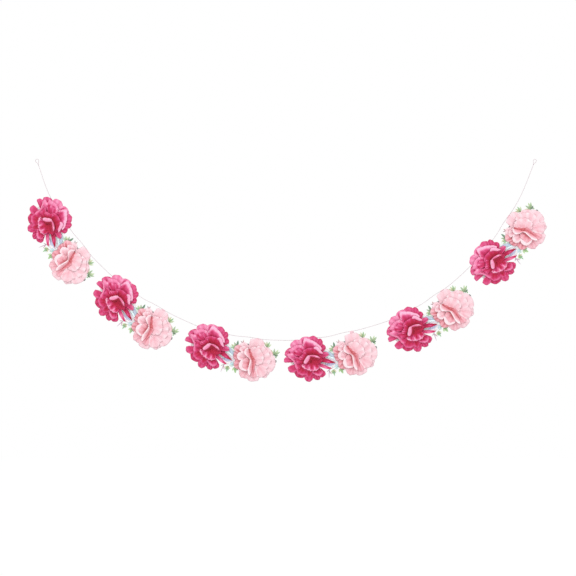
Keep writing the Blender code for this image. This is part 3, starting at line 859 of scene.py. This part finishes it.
PALE_INNER = (
    Sheet(((-12, -2), (-16, 10)), ((-36, -12), (-46, -10.5), (-52, -4), (-53, 5), (-47, 13), (-37, 20)),
          11.5, 0.34, 0.9, low=5, fade=2.0, belly=1, frill=1.0, corner=0.1, lip=0.22),
    Sheet(((-14, 6), (-18, 18)), ((-50, 13), (-52, 23), (-45, 31), (-36, 35), (-27, 30)),
          10.5, 0.26, 0.8, low=5, belly=1, frill=1.2, corner=0.2),
    Sheet(((-6, -12), (-12, -4)),
          ((-8, -30), (-12, -37), (-22, -38.5), (-32, -36), (-38.5, -28), (-40, -18), (-36, -9)),
          13, 0.3, 0.9, low=6, fade=2.0, belly=1, frill=0.8, folds=2, corner=0.06, lip=0.3),
    Sheet(((2, 4), (8, -6)),
          ((-4, 50), (8, 51), (22, 46), (37, 35), (47, 21), (49.5, 3), (46, -13), (38, -20)),
          8.6, 0.56, 0.72, low=5, fade=1.2, belly=1, frill=1.5, folds=5, corner=0.16),
    Sheet(((5, -12), (9, -4)),
          ((11, -11), (12.5, -24), (17.5, -35), (26, -43), (35, -43), (45, -36), (50, -24), (48, -11)),
          9.2, 0.48, 0.68, low=6, fade=1.4, belly=1, frill=1.2, folds=4, corner=0.16),
    Sheet(((-21, 31), (-16, 19), (-7, 8), (3, 1), (7, -10)),
          ((-22, 33), (-14, 39), (-2, 41), (12, 35), (23, 23), (28, 9), (24, -3), (14, -11)),
          12, 0.38, 0.72, low=8, fade=0.8, belly=1, frill=1.5, folds=5, corner=0.08),
    Sheet(((-12, 0), (-6, -8), (0, -16)), ((-24, 4), (-30, -5), (-29, -18), (-25, -31), (-13, -38)),
          13, 0.14, 0.46, low=8, fade=1.2, belly=1, frill=0.8, corner=0.16),
    Sheet(((-25, 28), (-12, 7), (-3, -4), (0, -14), (4, -30)),
          ((-28, 33), (-36, 24), (-33, 13), (-23, 6.5), (-14, 2.5), (-10, -6), (-9.5, -18), (-9, -31),
           (-5, -42), (1, -48)),
          18, 0.2, 0.94, low=8, fade=1.2, belly=1, frill=0.7, folds=5, curl=2.0, corner=0.1, lip=0.3),
    Sheet(((2, -14), (10, -16)), ((-1, -46), (8, -51), (18, -50), (27, -45)),
          8.5, 0.06, 0.46, low=6, fade=1.4, belly=1, frill=0.8, corner=0.2),
)
PALE_CORE = (
    Sheet(((-27, 29), (-15, 8), (-5, -2)), ((-18, 31), (-6, 13), (6, 3)),
          9, 0.0, 0.12, low=7, fade=1, belly=0.5, frill=0.4, curl=0.5),
    Sheet(((-7, 2), (-4, -9), (2, -26), (5, -36)), ((6, 4), (8, -6), (9, -18), (8, -36)),
          10.5, 0.02, 0.3, low=7, fade=1, belly=0.5, frill=0.4, curl=0.5),
)
# Painted highlights and painted shade, as above
PALE_PAINTED_LIGHT = (
    (25, 11, 3, 7, 30, 0.3), (46, 2, 3, 7, 0, 0.24), (9, 22, 4, 8, 0, 0.14), (-3, 19, 4, 6, 0, -0.12),
    (18, 22, 4, 4, 0, -0.14), (35, 8, 4, 7, 0, -0.14), (13.5, -24, 4, 13, 8, 0.3),
    (24, -42, 8, 3.5, -35, 0.25), (23, -24, 4, 10, 0, -0.12), (-57, 14, 5, 4, 0, -0.25),
    (-50, 12, 5, 3, 40, -0.2), (-42, -3, 5, 5, 0, -0.16), (36, 31, 9, 3, -15, 0.14),
    (-14, -16, 3, 9, 0, -0.14), (-20, -6, 7, 4, 0, 0.1), (-36, 20, 3, 5, 0, -0.2),
    (35, -14, 8, 10, 0, -0.06), (-15, 20, 5, 10, 40, 0.06), (0, 40, 10, 8, 0, 0.04),
    (-18, -44, 8, 6, 0, -0.06),
)


def pale_flower(dice):
    """Outer and inner petals."""
    turns = [8 + 360 / 14 * index for index in range(14)]
    under = ring((0, 0), turns, 16, 10, 52, high=3.0, deep=0.3, light=0.6, low=1.2, frill=0.6)
    base = ring((-4, 0), range(15, 375, 40), 26, 6, 36, high=6.6, deep=0.1, light=0.5, low=3.4)
    material = MATERIALS["pale"]
    outer = ((under, (10, 8)), (PALE_OUTER, (30, 15)))
    inner = ((base, (12, 8)), (PALE_INNER, (44, 20)), (PALE_CORE, (24, 8)))
    return [
        petal_mesh(name, PALE_CENTRE, groups, PALE_PAINTED_LIGHT, material, dice)
        for name, groups in (("pale outer petals", outer), ("pale inner petals", inner))
    ]


# Leaves, in mm from the centre of the pale flower: x, y, heading, length, width and colour

LEAF_COLOURS = {
    "fresh": shade(204, 226, 168),
    "green": shade(158, 198, 146),
    "dark": shade(92, 132, 102),
    "bud": shade(104, 108, 106),
    "mauve": shade(196, 152, 168),
    "blue": shade(204, 221, 248),
    "mist": shade(198, 226, 226),
    "white": shade(247, 251, 255),
}
# How deep the colour is at a leaf's foot, as a share of its colour at the tip
LEAF_FEET = {"fresh": 0.48, "green": 0.52, "dark": 0.6, "bud": 0.7}
PLAIN_FOOT = 0.92
LEAF_FADE = 0.7
# The leaves lie in this many layers in turn, so that neighbours pass over each other. Heights in mm
LEAF_LAYERS = 6
LEAF_LAYER_STEP = 0.32
LEAF_HEIGHT = 0.8
# Form of a leaf: how far its sides stand up from the midrib, how far it bends aside, how blunt its
# foot is, how near the foot it is widest, and how full
LEAF_FOLD = 0.09
LEAF_SWAY = 0.06
LEAF_BLUNTNESS = 0.015
LEAF_WIDEST = 0.8
LEAF_FULLNESS = 0.65
LEAVES = (
    (25, 49, 100, 18, 5.1, "fresh"), (24, 50, 126, 16, 4.6, "fresh"), (26, 49, 76, 19, 5.3, "green"),
    (27, 49, 50, 16, 4.6, "fresh"), (52, 33, 130, 18, 5.1, "fresh"), (53, 33, 98, 20, 5.6, "green"),
    (54, 33, 66, 21, 5.8, "fresh"), (55, 33, 46, 20, 5.8, "green"), (55, 31, 20, 12, 4.9, "dark"),
    (61, 20, -60, 9, 7.0, "bud"), (60, 26, 60, 6, 3.9, "green"), (-61, 24, 94, 20, 6.5, "dark"),
    (-62, 22, 128, 17, 5.3, "green"), (-62, 21, 160, 18, 5.6, "fresh"),
    (-61, 20, 186, 19, 6.0, "green"), (-46, 39, 96, 11, 3.4, "mauve"), (-46, 39, 146, 11, 3.2, "mauve"),
    (-26, 38, 146, 9, 5.8, "bud"), (-47, -39, -76, 17, 7.4, "green"),
    (-49, -39, -116, 12, 6.3, "fresh"), (-46, -39, -34, 11, 5.3, "green"),
    (-70, -40, -88, 20, 5.3, "green"), (-70, -41, -140, 11, 4.4, "fresh"),
    (-70, -41, -40, 11, 4.4, "fresh"), (-70, -46, -132, 9, 3.9, "green"),
    (-70, -46, -45, 9, 3.9, "green"), (-82, -36, -100, 30, 2.0, "mauve"),
    (-83, -42, -68, 14, 3.0, "mauve"), (-83, -40, -146, 10, 2.4, "mauve"),
    (-82, -38, 20, 9, 2.4, "mauve"), (-62, -3, 141, 35, 9.0, "blue"), (-60, 6, 140, 30, 7.0, "white"),
    (-52, -14, 168, 40, 8.0, "white"), (-54, -27, 171, 42, 9.5, "blue"),
    (-50, -23, 196, 39, 8.0, "white"), (-56, -26, 216, 14, 7.0, "mist"),
    (-54, -30, 236, 13, 6.0, "mist"), (-60, 12, 122, 18, 5.0, "mist"),
    (-86, -19, 164, 28, 5.5, "white"), (-84, -36, 152, 22, 5.0, "white"),
    (-62, -7, 160, 30, 6.0, "white"),
)
# Stems of the sprays, from the hub of the sheet to the foot of each spray: end and thickness
STEMS = (
    (26, 50, 1.2), (54, 33, 1.2), (60, 24, 1.0), (-62, 21, 1.2), (-46, 39, 1.0), (-28, 38, 1.0),
    (-48, -40, 1.2), (-70, -42, 1.2), (-83, -40, 1.0), (-64, -10, 1.4),
)
STEM_START_SHARE = 0.4
HUB_RADIUS = 34
HUB_HEIGHT = 0.5


def add_leaf(form, colours, leaf, layer, dice):
    """A leaf folded along its midrib, slightly bowed, pointed at both ends, in its own layer."""
    x, y, degrees, length, width, kind = leaf
    made = bmesh.ops.create_grid(form, x_segments=6, y_segments=10, size=1, calc_uvs=True)
    lift, bow = dice.uniform(0.1, 0.5), dice.uniform(0.2, 0.6)
    angle = math.radians(degrees)
    out = Vector((math.cos(angle), math.sin(angle)))
    side = Vector((-out.y, out.x))
    colour = [channel * dice.uniform(0.85, 1.12) for channel in LEAF_COLOURS[kind]]
    for vert in made["verts"]:
        across, along = vert.co.x, (vert.co.y + 1) / 2
        place = min(along * (1 - LEAF_BLUNTNESS) + LEAF_BLUNTNESS, 1)
        half = width / 2 * math.sin(math.pi * place**LEAF_WIDEST) ** LEAF_FULLNESS
        aside = across * half + LEAF_SWAY * length * along**2
        spot = Vector((x, y)) + out * length * along + side * aside
        height = LEAF_HEIGHT + LEAF_LAYER_STEP * layer + lift * along
        height += bow * math.sin(math.pi * along) * 0.5 + LEAF_FOLD * abs(across) * half
        vert.co = ((PALE_CENTRE + spot.x) * MM, spot.y * MM, height * MM)
        depth = LEAF_FEET.get(kind, PLAIN_FOOT)
        depth += (1 - depth) * along**LEAF_FADE
        vert[colours] = (*(channel * depth for channel in colour), 1)


def add_strip(form, colours, start, end, width, height, colour):
    """A flat strip of paper between two places in mm."""
    made = bmesh.ops.create_grid(form, x_segments=1, y_segments=6, size=1, calc_uvs=True)
    along = Vector(end) - Vector(start)
    side = Vector((-along.y, along.x)).normalized() * width / 2
    for vert in made["verts"]:
        spot = Vector(start) + along * (vert.co.y + 1) / 2 + side * vert.co.x
        vert.co = ((PALE_CENTRE + spot.x) * MM, spot.y * MM, height * MM)
        vert[colours] = (*colour, 1)


def leaf_spray(dice):
    """Leaves and stems on a round sheet behind the pale flower."""
    form = bmesh.new()
    form.loops.layers.uv.new("petal")
    colours = form.verts.layers.float_color.new("leaf_colour")
    for index, leaf in enumerate(LEAVES):
        add_leaf(form, colours, leaf, index % LEAF_LAYERS, dice)
    for x, y, width in STEMS:
        start = (x * STEM_START_SHARE, y * STEM_START_SHARE)
        add_strip(form, colours, start, (x, y), width, LEAF_HEIGHT, LEAF_COLOURS["green"])
    hub = bmesh.ops.create_circle(form, cap_ends=True, segments=40, radius=HUB_RADIUS * MM)
    for vert in hub["verts"]:
        vert.co.x += FLOWER_SPACING / 2
        vert.co.z = HUB_HEIGHT * MM
        vert[colours] = (*LEAF_COLOURS["white"], 1)
    return finish_mesh(form, "leaf spray", MATERIALS["leaf"])


# Dressing each pair


def sheet_matrix(number):
    """Place of a pair's card: X from magenta to pale, Z out of its front face."""
    forward = -Vector(MOUNTS[f"card_back_{number}"]["axis"])
    string = Vector(JOINTS[f"flower_pair_{number}_swing"]["axis"])
    turn = math.radians(CARD_TURNS[number - 1])
    across = string * math.cos(turn) + forward.cross(string) * math.sin(turn)
    matrix = Matrix((across, forward.cross(across), forward)).transposed().to_4x4()
    matrix.translation = Vector(MOUNTS[f"card_back_{number}"]["pos_m"]) + forward * CARD_THICKNESS
    return matrix


def hang_copy(mesh, name, number, node):
    """A copy of a mesh on one pair, as thick as its paper, in place of a node of the part."""
    copy = mesh.copy()
    copy.transform(sheet_matrix(number))
    piece = new_object(f"{name}_{number}", copy)
    wall = piece.modifiers.new("paper", "SOLIDIFY")
    wall.thickness = PAPER_THICKNESS
    wall.offset = 0
    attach(piece, f"flower_pair_{number}")
    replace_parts(piece, f"{node}_{number}")


def paint_node(name, material):
    """Keep a node of the part and give it this material."""
    node = frame["nodes"][name]
    node.data.materials.clear()
    node.data.materials.append(material)


def dress_pairs():
    """Petals and leaves on all six pairs, and paper on their cards and strips."""
    dice = random.Random(SEED)
    outer, middle, heart = magenta_flower(dice)
    pale_outer, pale_inner = pale_flower(dice)
    leaves = leaf_spray(dice)
    pieces = (
        (outer, "outer_magenta_ruffles", "magenta_outer_petals"),
        (middle, "middle_magenta_ruffles", "magenta_middle_petals"),
        (heart, "magenta_heart_ruffles", "magenta_heart"),
        (pale_outer, "outer_pale_ruffles", "pale_outer_petals"),
        (pale_inner, "inner_pale_ruffles", "pale_inner_petals"),
        (leaves, "paper_leaves", "leaf_spray"),
    )
    for number in PAIRS:
        for mesh, name, node in pieces:
            hang_copy(mesh, name, number, node)
        paint_node(f"flower_card_{number}", MATERIALS["card"])
        for side in ("left", "right"):
            paint_node(f"{side}_hanging_strip_{number}", MATERIALS["strip"])


# Light, floor and camera


def light_stage():
    """Even daylight, a white background and two soft lamps."""
    scene = bpy.context.scene
    scene.view_settings.view_transform = "Standard"
    world = bpy.data.worlds.new("studio")
    scene.world = world
    world.use_nodes = True
    tree = world.node_tree
    tree.nodes.clear()
    paths = tree.nodes.new("ShaderNodeLightPath").outputs
    seen = compute(tree, "MAXIMUM", paths["Is Camera Ray"], paths["Is Glossy Ray"])
    seen = compute(tree, "MAXIMUM", seen, paths["Is Transmission Ray"])
    fill = add(tree, "ShaderNodeBackground", Color=(1, 1, 1, 1), Strength=DAYLIGHT)
    white = add(tree, "ShaderNodeBackground", Color=(1, 1, 1, 1), Strength=1.0)
    mix_shaders(tree, seen, fill, white, tree.nodes.new("ShaderNodeOutputWorld"))

    for name, place, size, power in LAMPS:
        lamp = bpy.data.lights.new(name, "AREA")
        lamp.energy = power
        lamp.size = size
        holder = new_object(name, lamp)
        holder.location = place
        aim = Vector(LAMP_AIM) - Vector(place)
        holder.rotation_euler = aim.to_track_quat("-Z", "Y").to_euler()


def lay_floor():
    """A floor that the camera sees almost as white as the background."""
    mesh = bpy.data.meshes.new("floor")
    form = bmesh.new()
    bmesh.ops.create_grid(form, x_segments=1, y_segments=1, size=FLOOR_HALF_WIDTH)
    bmesh.ops.translate(form, verts=form.verts, vec=(0, 0, CAD_BOX[0][2] - FLOOR_DROP))
    form.to_mesh(mesh)
    form.free()
    floor = new_object("floor", mesh)
    material = bpy.data.materials.new("pale floor")
    material.use_nodes = True
    tree = material.node_tree
    shader = tree.nodes["Principled BSDF"]
    shader.inputs["Base Color"].default_value = (0.8, 0.8, 0.8, 1)
    shader.inputs["Roughness"].default_value = 0.9
    seen = add(tree, "ShaderNodeLightPath").outputs["Is Camera Ray"]
    glow = add(tree, "ShaderNodeEmission", Color=(1, 1, 1, 1), Strength=FLOOR_WHITE)
    factor = compute(tree, "MULTIPLY", seen, FLOOR_WHITE_SHARE)
    mix_shaders(tree, factor, shader, glow, tree.nodes["Material Output"])
    mesh.materials.append(material)


def place_camera():
    """Straight in front of the garland, as in the photo."""
    camera = bpy.data.cameras.new("camera")
    camera.sensor_width = SENSOR_WIDTH
    camera.lens = SENSOR_WIDTH * CAMERA_DISTANCE / PICTURE_WIDTH
    camera.clip_end = CAMERA_REACH
    holder = new_object("camera", camera)
    holder.location = (CAMERA_CENTRE[0], -CAMERA_DISTANCE, CAMERA_CENTRE[1])
    holder.rotation_euler = (math.radians(90), 0, 0)
    bpy.context.scene.camera = holder


# Colours of a petal by tone, from its foot to its rim

MAGENTA_STEPS = (
    (0.0, shade(164, 24, 52)),
    (0.18, shade(190, 34, 70)),
    (0.36, shade(202, 50, 102)),
    (0.58, shade(220, 88, 138)),
    (0.78, shade(238, 138, 178)),
    (1.0, shade(250, 192, 218)),
)
PALE_STEPS = (
    (0.0, shade(188, 84, 86)),
    (0.18, shade(214, 128, 138)),
    (0.36, shade(231, 166, 177)),
    (0.58, shade(237, 194, 203)),
    (0.8, shade(241, 211, 218)),
    (1.0, shade(249, 230, 234)),
)
MATERIALS = {
    "magenta": petal_material("magenta crepe paper", MAGENTA_STEPS, (0.72, 0.45, 0.55)),
    "pale": petal_material("pale pink crepe paper", PALE_STEPS, (0.92, 0.78, 0.78)),
    "leaf": leaf_material(),
    "card": card_material("white card", (0.92, 0.915, 0.91), (0.96, 0.96, 0.96)),
    "strip": card_material("pale pink strip paper", shade(226, 188, 198), shade(238, 204, 212)),
    "string": string_material(),
}

place_camera()
light_stage()
lay_floor()
dress_string()
dress_pairs()
